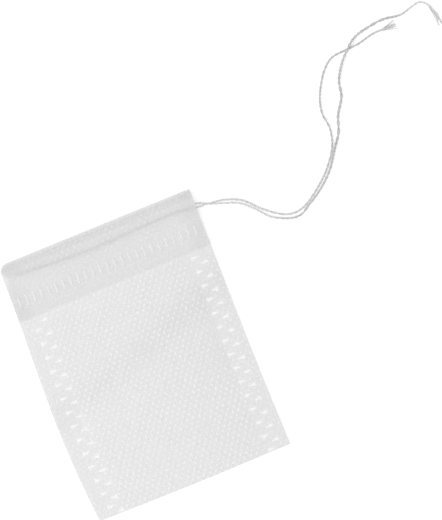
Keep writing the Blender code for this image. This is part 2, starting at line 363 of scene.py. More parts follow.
def lay(across, down, inFlap=False):
    # where a point of the flat pattern comes to lie
    share = across / pouch["width"]
    along = down / pouch["length"]
    lean = pouch["lean"] * (0.5 - along)
    bow = pouch["leftBulge"] * (1 - share) + pouch["rightHollow"] * share
    bow *= sin(pi * min(max(along, 0.0), 1.0) ** pouch["bowSkew"])
    droop = pouch["mouthDroop"] * share**2 * exp(-max(down, 0.0) / pouch["droopFade"])
    sag = pouch["foldSlant"] * (share - 0.5) * along
    sag += pouch["foldSag"] * sin(pi * share) * along**3
    corner = max(0.0, 1 - across / pouch["cornerReach"]) ** 3
    pull = pouch["cornerPull"] * corner * max(0.0, 1 - max(down, 0.0) / pouch["pullStart"])
    notch = 0.0
    if inFlap:
        nearTurn = max(0.0, 1 - ((down - pouch["turnDepth"]) / pouch["turnDepth"]) ** 2)
        notch = pouch["turnNotch"] * nearTurn * max(0.0, 1 - across / pouch["turnNotchReach"])
    x = across + lean - bow + notch - centreAcross
    y = centreDown - down - droop - sag - pull
    return x, y


def patternPlace(x, y):
    # the point of the flat pattern that comes to lie at x and y
    across = x + centreAcross
    down = centreDown - y
    for attempt in range(4):
        laidX, laidY = lay(across, down)
        across += x - laidX
        down += laidY - y
    return across, down


thread = {
    "thickness": 0.00065,
    "frontExit": 20,  # the route's point where the short tail leaves the front hem
    "frontTurn": 27,  # where the front run ends and the turn starts
    "backTurn": 31,
    "backExit": 37,  # where the long tail leaves the back hem
    "lying": 0.00033,
    "curveSteps": 12,  # from one point of the route to the next
    "upright": 0.35,  # where the thread stands steeper, its way across is kept
    "plyThickness": 0.00036,
    "twistPitch": 0.0030,  # along the thread for one full turn of its two plies
    "twistWaves": ((0.35, 210.0, 0.0), (0.2, 523.0, 1.3)),  # turns, waves per metre, start
    "stepsPerTurn": 14,
    "sides": 8,
    "looseShort": 0.0050,  # the plies open up over this much of each end
    "looseLong": 0.0070,
    "shortSpread": 0.00016,  # and lie this far off the middle
    "shortThinning": 0.65,
    "longSpread": (0.00012, 0.00020),
    "longFan": 0.00085,
    "fanBend": 1.5,
    "longThinning": 0.40,
    "slackFrom": 0.048,  # from here to there the long tail's plies lie looser side by side
    "slackTo": 0.096,
    "slackFade": 0.008,
    "slack": 0.75,
    "frayCover": 0.5,
    "seed": 7,
}


# The thread: the short tail from its end, the run through both hems, and the long tail. Its
# points go where the bag's right mouth corner goes, which lies at routeCorner among them. A
# point without a height lies on the table.

routeCorner = (0.0307, 0.0394)
threadRoute = (
    (0.1045, 0.0612), (0.1010, 0.0615), (0.0971, 0.0614), (0.0922, 0.0603),
    (0.0884, 0.0601), (0.0835, 0.0595), (0.0797, 0.0563), (0.0762, 0.0506),
    (0.0749, 0.0456), (0.0753, 0.0405), (0.0737, 0.0352), (0.0698, 0.0300),
    (0.0651, 0.0259), (0.0598, 0.0226), (0.0555, 0.0220), (0.0517, 0.0237),
    (0.0478, 0.0269), (0.0438, 0.0310, 0.00036), (0.0392, 0.0331, 0.00085),
    (0.0351, 0.0338, 0.00124), (0.0309, 0.0342, 0.00118), (0.0259, 0.0349, 0.00118),
    (0.0180, 0.0351, 0.00118), (0.0069, 0.0347, 0.00118), (-0.0041, 0.0346, 0.00118),
    (-0.0160, 0.0353, 0.00118), (-0.0250, 0.0360, 0.00118), (-0.02785, 0.0362, 0.00118),
    (-0.02834, 0.03638, 0.00109), (-0.02854, 0.03683, 0.00088),
    (-0.02834, 0.03727, 0.00066), (-0.02785, 0.03745, 0.00058), (-0.0250, 0.0374, 0.00058),
    (-0.0140, 0.0368, 0.00058), (0.0000, 0.0361, 0.00058), (0.0140, 0.0365, 0.00058),
    (0.0250, 0.0363, 0.00058), (0.0309, 0.0354, 0.00058), (0.0346, 0.0337, 0.00036),
    (0.0382, 0.0324), (0.0426, 0.0306), (0.0463, 0.0272), (0.0496, 0.0235),
    (0.0544, 0.0210), (0.0580, 0.0207), (0.0610, 0.0223), (0.0657, 0.02515),
    (0.0705, 0.0293), (0.0744, 0.0347), (0.0772, 0.0387), (0.0789, 0.0432),
    (0.0819, 0.0479), (0.0830, 0.0524, 0.00040), (0.0856, 0.0567, 0.00085),
    (0.0890, 0.0602, 0.00125), (0.0925, 0.0627, 0.00085), (0.0979, 0.0639),
    (0.1020, 0.0642), (0.1069, 0.0635), (0.1110, 0.0645), (0.1134, 0.0648),
    (0.1155, 0.0631), (0.1169, 0.0592), (0.1172, 0.0566),
)
routeShift = Vector((*lay(pouch["width"], 0.0), 0.0)) - Vector((*routeCorner, 0.0))


def shifted(point):
    height = thread["lying"] if len(point) == 2 else point[2]
    return Vector((*point[:2], height)) + routeShift


threadPath = [shifted(point) for point in threadRoute]


def curveThrough(knots, steps):
    # a smooth curve through the knots, with so many steps from one to the next
    points = [2 * knots[0] - knots[1], *knots, 2 * knots[-1] - knots[-2]]
    curve = []
    for a, b, c, d in zip(points, points[1:], points[2:], points[3:]):
        for step in range(steps):
            t = step / steps
            bend = (2 * a - 5 * b + 4 * c - d) * t * t + (3 * b - a - 3 * c + d) * t**3
            curve.append((2 * b + (c - a) * t + bend) / 2)
    curve.append(knots[-1].copy())
    return curve


def travelAlong(curve):
    travel = [0.0]
    for before, after in zip(curve, curve[1:]):
        travel.append(travel[-1] + (after - before).length)
    return travel


def evenPoints(curve, gap):
    # points at equal distances along a curve
    travel = travelAlong(curve)
    count = round(travel[-1] / gap)
    points = []
    here = 0
    for number in range(count + 1):
        target = travel[-1] * number / count
        while here < len(curve) - 2 and travel[here + 1] < target:
            here += 1
        share = (target - travel[here]) / (travel[here + 1] - travel[here])
        points.append(curve[here].lerp(curve[here + 1], min(share, 1.0)))
    return points, travel[-1]


def sideFrames(points):
    # at each point the way along, a level way across, and the way up from both
    frames = []
    across = Vector((0.0, 1.0, 0.0))
    for number, point in enumerate(points):
        before = points[max(number - 1, 0)]
        after = points[min(number + 1, len(points) - 1)]
        along = (after - before).normalized()
        level = Vector((0.0, 0.0, 1.0)).cross(along)
        if level.length > thread["upright"]:
            across = level.normalized()
        across = (across - along * across.dot(along)).normalized()
        frames.append((along, across, along.cross(across)))
    return frames


def newTubes():
    mesh = bmesh.new()
    return mesh, mesh.loops.layers.uv.new("along")


def addTube(mesh, uvLayer, centres, radii, sides):
    # a closed tube with its seam along it; the UV is in millimetres along and turns round
    travel = travelAlong(centres)
    rings = []
    for centre, radius, (along, across, up) in zip(centres, radii, sideFrames(centres)):
        ring = []
        for side in range(sides):
            angle = 2 * pi * side / sides
            out = (across * cos(angle) + up * sin(angle)) * radius
            ring.append(mesh.verts.new(centre + out))
        rings.append(ring)
    for number, (ring, after) in enumerate(zip(rings, rings[1:])):
        for side in range(sides):
            turned = (side + 1) % sides
            face = mesh.faces.new((ring[side], ring[turned], after[turned], after[side]))
            face.smooth = True
            for loop, (end, turn) in zip(face.loops, ((0, 0), (0, 1), (1, 1), (1, 0))):
                loop[uvLayer].uv = (travel[number + end] * 1000, (side + turn) / sides)
    mesh.faces.new(list(reversed(rings[0])))
    mesh.faces.new(rings[-1])


def twistTurns(travel):
    # the twist runs a little tighter and looser along the thread
    turns = travel / thread["twistPitch"]
    for size, rate, start in thread["twistWaves"]:
        turns += size * sin(travel * rate + start)
    return turns


def makePlies(name, points, length, startTravel, opening):
    # two plies twisted round each other; where they open up they lie flat on the table
    mesh, uvLayer = newTubes()
    plyRadius = thread["plyThickness"] / 2
    orbit = thread["thickness"] / 2 - plyRadius
    step = (points[1] - points[0]).length
    for ply in range(2):
        centres = []
        radii = []
        for number, (point, (along, across, up)) in enumerate(zip(points, sideFrames(points))):
            travel = step * number
            angle = 2 * pi * (twistTurns(startTravel + travel) + ply / 2)
            apart, spread, thinness, looseness = opening(travel, length - travel, ply)
            twisted = (across * cos(angle) * looseness + up * sin(angle)) * orbit
            flat = across * spread
            flat.z += plyRadius * thinness - point.z if apart else 0.0
            centres.append(point + twisted.lerp(flat, apart))
            radii.append(plyRadius * (1 + (thinness - 1) * apart))
        addTube(mesh, uvLayer, centres, radii, thread["sides"])
    return pieceFrom(name, mesh)


hairs = {
    "thickness": 0.000018,
    "lengths": (0.0006, 0.0018),
    "lifts": (0.25, 0.75),  # how steeply a hair stands off the thread
    "lean": 0.5,  # and how far it leans to a side
    "root": 0.7,  # how far out it starts, as a share of the thread's radius
    "curl": 0.2,  # what its tip keeps of its lift
    "clearStart": 4,  # points of the tail that have no hairs
    "clearEnd": 12,
    "steps": 4,
    "sides": 4,
    "taper": 0.4,
    "shortCount": 150,
    "longCount": 180,
}


def addFibre(mesh, uvLayer, knots, thickness, steps):
    # one loose fibre, bent through its knots and thinner towards its tip
    curve = curveThrough(knots, steps)
    radii = []
    for number, point in enumerate(curve):
        share = number / (len(curve) - 1)
        radii.append(thickness / 2 * (1 - hairs["taper"] * share))
        point.z = max(point.z, thickness / 2)
    addTube(mesh, uvLayer, curve, radii, hairs["sides"])


def makeHairs(name, points, count, chooser):
    # short hairs that stand off the thread, each leaving it at a slant and curling back
    mesh, uvLayer = newTubes()
    frames = sideFrames(points)
    out = thread["thickness"] / 2 * hairs["root"]
    for number in range(count):
        here = chooser.randrange(hairs["clearStart"], len(points) - hairs["clearEnd"])
        along, across, up = frames[here]
        angle = chooser.uniform(0.0, 2 * pi)
        away = across * cos(angle) + up * sin(angle)
        half = chooser.uniform(*hairs["lengths"]) / 2
        lift = chooser.uniform(*hairs["lifts"])
        side = along.cross(away) * chooser.uniform(-hairs["lean"], hairs["lean"])
        way = along * chooser.choice((-1.0, 1.0))
        root = points[here] + away * out
        middle = root + (way + away * lift + side).normalized() * half
        tip = middle + (way + away * lift * hairs["curl"] + side * 2).normalized() * half
        addFibre(mesh, uvLayer, [root, middle, tip], hairs["thickness"], hairs["steps"])
    return pieceFrom(name, mesh)


# The frayed ends. A tip is a point, its share of the fibres, and how far they spread round it.
brushes = {
    "short": {
        "base": (0.1000, 0.0615),
        "tips": (
            ((0.1048, 0.0614), 0.52, 0.00036),
            ((0.1046, 0.0628), 0.26, 0.00009),
            ((0.1048, 0.0600), 0.22, 0.00008),
        ),
        "count": 70,
    },
    "long": {
        "base": (0.1156, 0.0628),
        "tips": (
            ((0.1172, 0.0564), 0.45, 0.00012),
            ((0.1163, 0.0560), 0.30, 0.00010),
            ((0.1174, 0.0590), 0.25, 0.00014),
        ),
        "count": 44,
    },
}
brushFibre = {
    "thickness": 0.00004,
    "steps": 7,
    "rootSpread": 0.00012,
    "rootHeights": (0.0001, 0.0005),
    "tipHeight": 0.0005,
    "middleHeight": 0.0006,
    "middles": (0.4, 0.6),  # where the fibre bends, as a share of its length
    "middleSpread": 0.45,
    "shortening": 0.6,
}


def makeBrush(name, brush, chooser):
    # fibres that leave the thread together and fan out
    mesh, uvLayer = newTubes()
    base = shifted(brush["base"])
    rootSpread = brushFibre["rootSpread"]
    thickness = brushFibre["thickness"]
    for number in range(brush["count"]):
        draw = chooser.random()
        total = 0.0
        for tip, share, spread in brush["tips"]:
            total += share
            if draw <= total:
                break
        root = base + Vector((chooser.gauss(0, rootSpread), chooser.gauss(0, rootSpread), 0.0))
        root.z = chooser.uniform(*brushFibre["rootHeights"])
        end = shifted(tip)
        along = (end - base).normalized()
        across = Vector((-along.y, along.x, 0.0))
        end += across * chooser.gauss(0, spread)
        end -= along * abs(chooser.gauss(0, spread * brushFibre["shortening"]))
        end.z = chooser.uniform(thickness, brushFibre["tipHeight"])
        middle = root.lerp(end, chooser.uniform(*brushFibre["middles"]))
        middle += across * chooser.gauss(0, spread * brushFibre["middleSpread"])
        middle.z = chooser.uniform(thickness, brushFibre["middleHeight"])
        addFibre(mesh, uvLayer, [root, middle, end], thickness, brushFibre["steps"])
    return pieceFrom(name, mesh)


# How far each piece's plies lie apart, from 0 to 1, and off the middle, how thick they are and
# how loosely twisted, by the distances from its start and to its end.


def openShortTail(start, end, ply):
    # the short tail's frayed end is its start
    apart = 1 - ease(start / thread["looseShort"])
    spread = thread["shortSpread"] * (1 + apart) * (1 if ply else -1)
    return apart, spread, 1 - thread["shortThinning"] * apart, 1.0


def keepTwisted(start, end, ply):
    return 0.0, 0.0, 1.0, 1.0


def openLongTail(start, end, ply):
    apart = 1 - ease(end / thread["looseLong"])
    near, far = thread["longSpread"]
    spread = near if ply else -far - thread["longFan"] * apart ** thread["fanBend"]
    begun = ease((start - thread["slackFrom"]) / thread["slackFade"])
    ended = ease((start - thread["slackTo"]) / thread["slackFade"])
    looseness = 1 + thread["slack"] * (begun - ended)
    return apart, spread, 1 - thread["longThinning"] * apart, looseness


def makeThread():
    curve = curveThrough(threadPath, thread["curveSteps"])
    for point in curve:  # never lower than on the table
        point.z = max(point.z, thread["thickness"] / 2)
    gap = thread["twistPitch"] / thread["stepsPerTurn"]
    front = thread["frontExit"] * thread["curveSteps"]
    back = thread["backExit"] * thread["curveSteps"]
    made = {}
    travel = 0.0
    for key, name, run, opening in (
        ("short", "shortTail", curve[: front + 1], openShortTail),
        ("hem", "hemThread", curve[front : back + 1], keepTwisted),
        ("long", "longTail", curve[back:], openLongTail),
    ):
        points, length = evenPoints(run, gap)
        made[key] = (makePlies(name, points, length, travel, opening), points, length, [])
        travel += length
    chooser = random.Random(thread["seed"])
    for key in brushes:
        piece, points, length, others = made[key]
        others.append(makeHairs(piece.name + "Hairs", points, hairs[key + "Count"], chooser))
    for key, brush in brushes.items():
        piece, points, length, others = made[key]
        others.insert(0, makeBrush(piece.name + "Brush", brush, chooser))
    return made


cotton = {
    "winding": 0.55,  # turns of the fibres round a ply in each millimetre
    "girth": 1.6,
    "stretch": 0.35,
    "strandScale": 2.6,
    "strandRange": (0.32, 0.68),
    "blotchScale": 0.45,
    "blotchRange": (0.35, 0.65),
    "blotchShare": 0.35,
    "pale": 0.99,
    "roughness": 0.92,
    "specular": 0.2,
    "bump": 0.8,
    "bumpDepth": 0.00006,
}


def cottonMaterial(name, darkest, lightest, paleParts=(), cover=1.0):
    material, tree, shader = newMaterial(name)
    along, around = splitXY(uvWire(tree, "along"))
    # fibres wind round each ply, so the place round it is turned on along its length
    angle = (along * cotton["winding"] + around) * (2 * pi)
    girth = cotton["girth"]
    ring = [calc("COSINE", angle) * girth, calc("SINE", angle) * girth]
    fine = cloudNoise(joinXYZ(*ring, along * cotton["stretch"]), cotton["strandScale"], 4.0)[0]
    blotch = cloudNoise(along, cotton["blotchScale"], 3.0, dimensions="1D")[0]
    strands = remap(fine, *cotton["strandRange"])
    share = cotton["blotchShare"]
    tone = remap(blotch, *cotton["blotchRange"]) * share + strands * (1 - share)
    colour = mixColour(tone, greyOf(darkest), greyOf(lightest))
    # the pale parts paint light onto the tails; the hem run goes white from its turn on
    for start, end, paleness in paleParts:
        pale = remap(along, start, end, 0.0, paleness)
        colour = mixColour(pale, colour, greyOf(cotton["pale"]))
    feed(shader, {
        "Base Color": colour,
        "Alpha": cover,
        "Roughness": cotton["roughness"],
        "Specular IOR Level": cotton["specular"],
        "Normal": addBump(strands, cotton["bump"], cotton["bumpDepth"]),
    })
    return material


threadPieces = makeThread()
shortEnd, hemEnd, longEnd = [entry[2] * 1000 for entry in threadPieces.values()]
# The darkest and the lightest grey of each piece, and its pale parts: the places where a part
# starts and is full, in millimetres along the piece, and how pale it gets. The tails' pale parts
# are painted light, near the hem's exits and at their frayed ends.
threadTones = {
    "short": (0.64, 0.87, ((8.0, 3.0, 0.8), (shortEnd - 60, shortEnd - 20, 0.5))),
    # painted shade: the hem run is darker along its front run, as the shade line under the front
    # panel; from the turn on it is white
    "hem": (0.54, 0.76, ((hemEnd / 2 - 0.8, hemEnd / 2 + 0.2, 1.0),)),
    "long": (0.60, 0.86, ((33.0, 20.0, 0.85), (longEnd - 12, longEnd - 5, 0.7))),
}
fray = cottonMaterial("frayedCotton", 0.95, 1.0, cover=thread["frayCover"])
exits = {"short": thread["frontExit"], "long": thread["backExit"]}
for key, (piece, points, length, others) in threadPieces.items():
    setMaterials(piece, [cottonMaterial(key + "Cotton", *threadTones[key])])
    for item in others:
        setMaterials(item, [fray])
    for item in [piece, *others]:
        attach(item, "root")
    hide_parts("drawstring")
    key in exits
print("thread made")


# The pouch: one sheet, folded at the bottom, turned in at both tops and welded at its sides

# The front panel's soft swells, from start to end down the bag. The start slants across it.
swells = (
    {"start": 0.0328, "slant": -0.333, "end": 0.0555, "fade": 0.0100, "height": 0.0010},
    {"start": 0.0640, "slant": 0.060, "end": 0.0740, "fade": 0.0080, "height": 0.0004},
)
softness = {
    "creases": (120.0, 160.0),  # small unevenness of the front, per metre across and down
    "creaseHeight": 0.00012,
    "fineCreases": 3.1,  # how much smaller the second set is
    "fineHeight": 0.00004,
    "waves": (210.0, 70.0),  # where the thread gathers the hem
    "waveHeight": 0.00005,
    "waveLift": 0.6,
    "lift": 0.00012,  # how far the front stands off the back everywhere
    "sides": 0.6,  # how steeply it comes down towards the welds
    "hemEnd": 0.0050,  # the front comes down from the flap's edge in this length
    "swellStart": 0.0040,
    "bottomEnd": 0.0060,
}


def threadLine(first, last):
    # how far down the bag one run of the thread lies, at places across the bag
    run = sorted(patternPlace(x, y) for x, y, _ in threadPath[first : last + 1])

    def line(across):
        if across <= run[0][0]:
            return run[0][1]
        for (a, low), (b, high) in zip(run, run[1:]):
            if across <= b:
                return low + (high - low) * (across - a) / (b - a)
        return run[-1][1]

    return line


frontLine = threadLine(thread["frontExit"], thread["frontTurn"])
backLine = threadLine(thread["backTurn"], thread["backExit"])
channel = pouch["sheet"] + thread["thickness"] + 2 * pouch["clearance"]


def flapHeight(across, down):
    # the back flap: level from its fold, over the thread's back run, and down on the back panel
    away = (down - backLine(across)) / pouch["flapRise"]
    beside = levelOf(1) if away > 0 else levelOf(0) + 2 * foldRadius
    over = levelOf(0) + channel
    return beside + (over - beside) * cos(pi / 2 * min(abs(away), 1.0)) ** 2


def hemTop(across, down):
    # the front panel over the hem: up from its fold, over the front run, down on its flap
    line = frontLine(across)
    folded = levelOf(1) + 4 * foldRadius
    full = levelOf(2) + channel
    rise = (down - foldRadius) / (line - pouch["flatAbove"] - foldRadius)
    if rise < 1:
        return folded + (full - folded) * sin(pi / 2 * max(rise, 0.0))
    return full + (levelOf(3) - full) * ease((down - line - pouch["flatBelow"]) / pouch["closing"])


def fullness(across):
    inside = (across - seamEnd) / (pouch["width"] - 2 * seamEnd)
    return sin(pi * min(max(inside, 0.0), 1.0))


def swellHeight(across, down):
    height = 0.0
    for swell in swells:
        start = swell["start"] + swell["slant"] * (across - pouch["width"] / 2)
        rise = ease((down - start) / swell["fade"] + 0.5)
        fall = ease((down - swell["end"]) / swell["fade"] + 0.5)
        height += swell["height"] * (rise - min(fall, rise))
    return height


def creases(across, down):
    # small soft unevenness of a limp sheet
    place = Vector((across * softness["creases"][0], down * softness["creases"][1], 3.0))
    fine = noise.noise(place * softness["fineCreases"] + Vector((7.0, 0.0, 0.0)))
    return noise.noise(place) * softness["creaseHeight"] + fine * softness["fineHeight"]


def hemWaves(across, down):
    # the thread gathers the hem a little, most halfway from the fold to the dashes
    free = sin(pi * min(max(down / welds["dashDepth"], 0.0), 1.0))
    place = Vector((across * softness["waves"][0], down * softness["waves"][1], 9.0))
    return (noise.noise(place) + softness["waveLift"]) * softness["waveHeight"] * free


def frontHeight(across, down):
    if down <= hemDepth:
        return hemTop(across, down) + hemWaves(across, down)
    full = fullness(across)
    below = down - hemDepth
    fromHem = 2 * layer * (1 - ease(below / (4 * layer + softness["hemEnd"] * full)))
    fromFold = sin(pi / 2 * min((pouch["length"] - down) / softness["bottomEnd"], 1.0))
    swollen = swellHeight(across, down) + softness["lift"] + creases(across, down)
    swollen *= full ** softness["sides"]
    return levelOf(1) + fromHem + swollen * fromFold * ease(below / softness["swellStart"])


def spaced(start, end, count):
    return [start + (end - start) * number / count for number in range(count + 1)]


def flatRows(side, downs):
    return [(side, down, 0.0) for down in downs]


def foldRows(side, centre, radius, start, end):
    rows = []
    for step in range(1, pouch["foldSteps"]):
        angle = radians(start + (end - start) * step / pouch["foldSteps"])
        rows.append((side, centre + radius * cos(angle), radius * sin(angle)))
    return rows


def sheetRows():
    # the sheet's rows from flap to flap: side, place down the bag, and height in a fold
    hem = spaced(foldRadius, hemDepth, pouch["hemRows"])
    turn = layer / 2
    low = pouch["length"] - turn
    body = spaced(hemDepth, low, pouch["bodyRows"])[1:]
    backBody = spaced(hemDepth, low, pouch["backRows"])
    backFold = foldRadius - pouch["backRise"]
    rows = flatRows("frontFlap", reversed(hem))
    rows += foldRows("frontFold", foldRadius, foldRadius, -90, -270)
    rows += flatRows("front", hem + body)
    rows += foldRows("bottom", low, turn, 90, -90)
    rows += flatRows("back", reversed(backBody))
    rows += flatRows("back", reversed(spaced(backFold, hemDepth, pouch["backTopRows"])[:-1]))
    rows += foldRows("backFold", backFold, foldRadius, -90, -270)
    return rows + flatRows("backFlap", [backFold, *hem])


def heightOf(side, across, down, offset):
    if side == "front":
        return frontHeight(across, down)
    if side == "frontFlap":
        return flapHeight(across, down) + layer
    if side == "frontFold":
        return flapHeight(across, foldRadius) + layer + foldRadius + offset
    if side == "backFlap":
        return flapHeight(across, down)
    middle = {"back": 0.0, "bottom": layer / 2, "backFold": foldRadius}[side]
    return levelOf(0) + middle + offset


def sheetTravel(rows):
    # distance along the flat sheet to each row
    travel = [0.0]
    for (side, down, _), (nextSide, nextDown, _) in zip(rows, rows[1:]):
        step = Vector((nextDown - down, 0.0))
        if "bottom" in (side, nextSide):
            step.x = layer / 2 * pi / pouch["foldSteps"]
        elif "Fold" in side + nextSide:
            step.x = foldRadius * pi / pouch["foldSteps"]
        travel.append(travel[-1] + step.length)
    return travel


def foldSheet():
    # a flat grid whose rows are then laid over, round and under as the real sheet is folded
    rows = sheetRows()
    travel = sheetTravel(rows)
    columns = pouch["columns"]
    last = len(rows) - 1
    bpy.ops.mesh.primitive_grid_add(x_subdivisions=columns, y_subdivisions=last, size=1.0)
    sheet = bpy.context.active_object
    sheet.name = sheet.data.name = "filterPouch"
    places = []
    for vertex in sheet.data.vertices:
        flat = vertex.co
        places.append((round((flat.x + 0.5) * columns), round((flat.y + 0.5) * last)))
    for vertex, (column, row) in zip(sheet.data.vertices, places):
        side, down, offset = rows[row]
        across = pouch["width"] * column / columns
        x, y = lay(across, down, "Flap" in side)
        if column in (0, columns):
            edge = Vector((travel[row] * pouch["frayScale"], column, 0.5))
            x += noise.noise(edge) * pouch["fray"]
        vertex.co = (x, y, heightOf(side, across, down, offset))
    # the flat sheet's own millimetres, for the pattern that is pressed into it
    uv = sheet.data.uv_layers[0]
    uv.name = "cut"
    for loop in sheet.data.loops:
        column, row = places[loop.vertex_index]
        uv.data[loop.index].uv = (pouch["width"] * 1000 * column / columns, travel[row] * 1000)
    bottom = [place for place, row in zip(travel, rows) if row[0] == "bottom"]
    return sheet, travel[-1], sum(bottom) / len(bottom)


# Weld marks

welds = {
    "recess": 0.00006,
    "innerRecess": 0.00002,
    "dashLength": 0.0032,
    "dashWidth": 0.0004,
    "dashPitch": 0.0023,
    "dashDepth": 0.0097,
    "dashMargin": 0.0020,
    "markShift": 0.00035,  # the marks of both sides sit this much further right
    "markLength": 0.0026,
    "markBase": 0.0016,
    "markWaist": 0.0009,
    "markTip": 0.00015,
    "markPitch": 0.00428,
    "lowestMark": 0.00065,
    "markStagger": 0.00214,
}


def layOutline(pattern):
    outline = [Vector(lay(across, down)) for across, down in pattern]
    area = sum(a.cross(b) for a, b in zip(outline, outline[1:] + outline[:1]))
    if area < 0:
        outline.reverse()
    return outline


def markOutline(base, down, towards):
    # a triangle with hollow flanks, its flat end at base; the bottom fold cuts the lowest off
    waist = base + towards * welds["markLength"] / 3
    tip = base + towards * welds["markLength"]
    widths = ((base, welds["markBase"]), (waist, welds["markWaist"]), (tip, welds["markTip"]))
    lowest = pouch["length"] - layer
    pattern = [(across, down - width / 2) for across, width in widths]
    pattern += [(across, min(down + width / 2, lowest)) for across, width in reversed(widths)]
    return layOutline(pattern)


def seamOutlines():
    outlines = []
    clearOfHem = hemDepth + 4 * layer + welds["markBase"] / 2
    columns = ((pouch["seamMargin"], welds["markStagger"], 1), (seamEnd, 0.0, -1))
    for base, raised, towards in columns:
        down = pouch["length"] - welds["lowestMark"] - raised
        while down > clearOfHem:
            for start, way in ((base, towards), (pouch["width"] - base, -towards)):
                outlines.append(markOutline(welds["markShift"] + start, down, way))
            down -= welds["markPitch"]
    return outlines


def dashOutlines():
    outlines = []
    across = welds["dashMargin"]
    near = welds["dashDepth"]
    far = near + welds["dashLength"]
    half = welds["dashWidth"] / 2
    while across < pouch["width"] - welds["dashPitch"] / 3:
        left = across - half
        right = across + half
        outlines.append(layOutline(((left, near), (left, far), (right, far), (right, near))))
        across += welds["dashPitch"]
    return outlines


def addPrism(mesh, outline, low, high):
    bottom = [mesh.verts.new((*point, low)) for point in outline]
    top = [mesh.verts.new((*point, high)) for point in outline]
    faces = [mesh.faces.new(list(reversed(bottom))), mesh.faces.new(top)]
    for here in range(len(outline)):
        after = (here + 1) % len(outline)
        faces.append(mesh.faces.new((bottom[here], bottom[after], top[after], top[here])))
    return faces


def cutWith(sheet, operation, name, cuts, slots):
    mesh = bmesh.new()
    for slot, outlines, places in cuts:
        for outline in outlines:
            for place in places:
                for face in addPrism(mesh, outline, *place):
                    face.material_index = slot
    tool = pieceFrom(name, mesh)
    setMaterials(tool, slots)
    boolean = sheet.modifiers.new(name, "BOOLEAN")
    boolean.operation = operation
    boolean.solver = "EXACT"
    boolean.object = tool
    applyModifiers(sheet)
    bpy.data.objects.remove(tool)


def weldSheet(sheet, slots):
    half = pouch["sheet"] / 2
    seams = seamOutlines()
    dashes = dashOutlines()
    lower = (levelOf(0), levelOf(1))
    upper = (levelOf(2), levelOf(3))
    joins = ((1, seams, (lower,)), (2, dashes, (lower, upper)))
    cutWith(sheet, "UNION", "weldJoins", joins, slots)
    recess = welds["recess"]
    inner = welds["innerRecess"]
    under = (-layer, recess)
    overSeam = (levelOf(1) + half - recess, levelOf(2))
    overDash = (levelOf(3) + half - recess, levelOf(4))
    between = (levelOf(1) + half - inner, levelOf(2) - half + inner)
    hollows = ((1, seams, (under, overSeam)), (2, dashes, (under, between, overDash)))
    cutWith(sheet, "DIFFERENCE", "weldHollows", hollows, slots)


web = {
    "lean": (0.0155, 0.0012),  # of the columns of dots at the left and the right edge
    "bendRight": 3.9e-6,  # how much more they lean at the right, far from the bottom fold
    "rowShift": 100.5,  # a row lies on the bottom fold, and no row has a number below zero
    "thinnest": (0.60, 0.32),  # how dense the body and the hem are at the least
    "hemBlend": (-0.7, 0.2),  # the web changes over from here to there at the flap's edge
    "fibreDensity": 0.14,
    "cloudDensity": 0.07,
    "dots": 1.00,  # what a dot adds to the body's density, times that density
    "hemDots": (0.30, 0.0),  # the same in the hem and in its flap
    "dotStrengths": (0.58, 0.98),
    "sideDots": 0.35,  # how strong the dots are along the sides
    "sideBlend": (6.5, 9.5),
    "patches": (20.0, 2.5, 0.12, 1.0),  # turn, stretch, scale and detail of fainter patches
    "patchRange": (0.38, 0.62),
    "patchDots": (0.45, 1.1),
    "dotWhiteness": (0.85, 0.27),  # in the body and in the hem
    # painted shade in a soft band across the front
    "bandPlace": 30.3,  # a dimmer band crosses the front: its distance from the bottom fold
    "bandSlant": 0.34,
    "bandWander": 3.0,
    "bandWidth": 8.5,
    "bandPaintedShade": 0.023,
    # painted shade, darker towards the right side
    "sidePaintedShade": 0.014,
    "cloudTone": 0.4,
    "bodyColours": (0.980, 1.000),
    "hemColours": (0.990, 0.999),
    # painted shade in the hem just below its mouth fold
    "foldPaintedShade": 0.12,
    "foldPaintedShadeStart": (-2.7, -0.2),  # from the mouth fold
    "foldPaintedShadeEnd": (0.0, 0.3),
    "hemLowShade": 0.022,
    "hemLowReach": 10.5,
    # painted shade at the hem's open left and right ends
    "edgePaintedShades": (0.045, 0.043),  # the hem's open sides let light in between its layers
    "edgeReach": 6.0,
    "roughness": (0.90, 0.55),  # of the web and of a dot
    "specular": 0.25,
    "fibreRelief": 0.35,
    "bump": 0.08,
    "bumpDepth": 0.00006,
}


def around(place, key):
    return [place + reach for reach in web[key]]


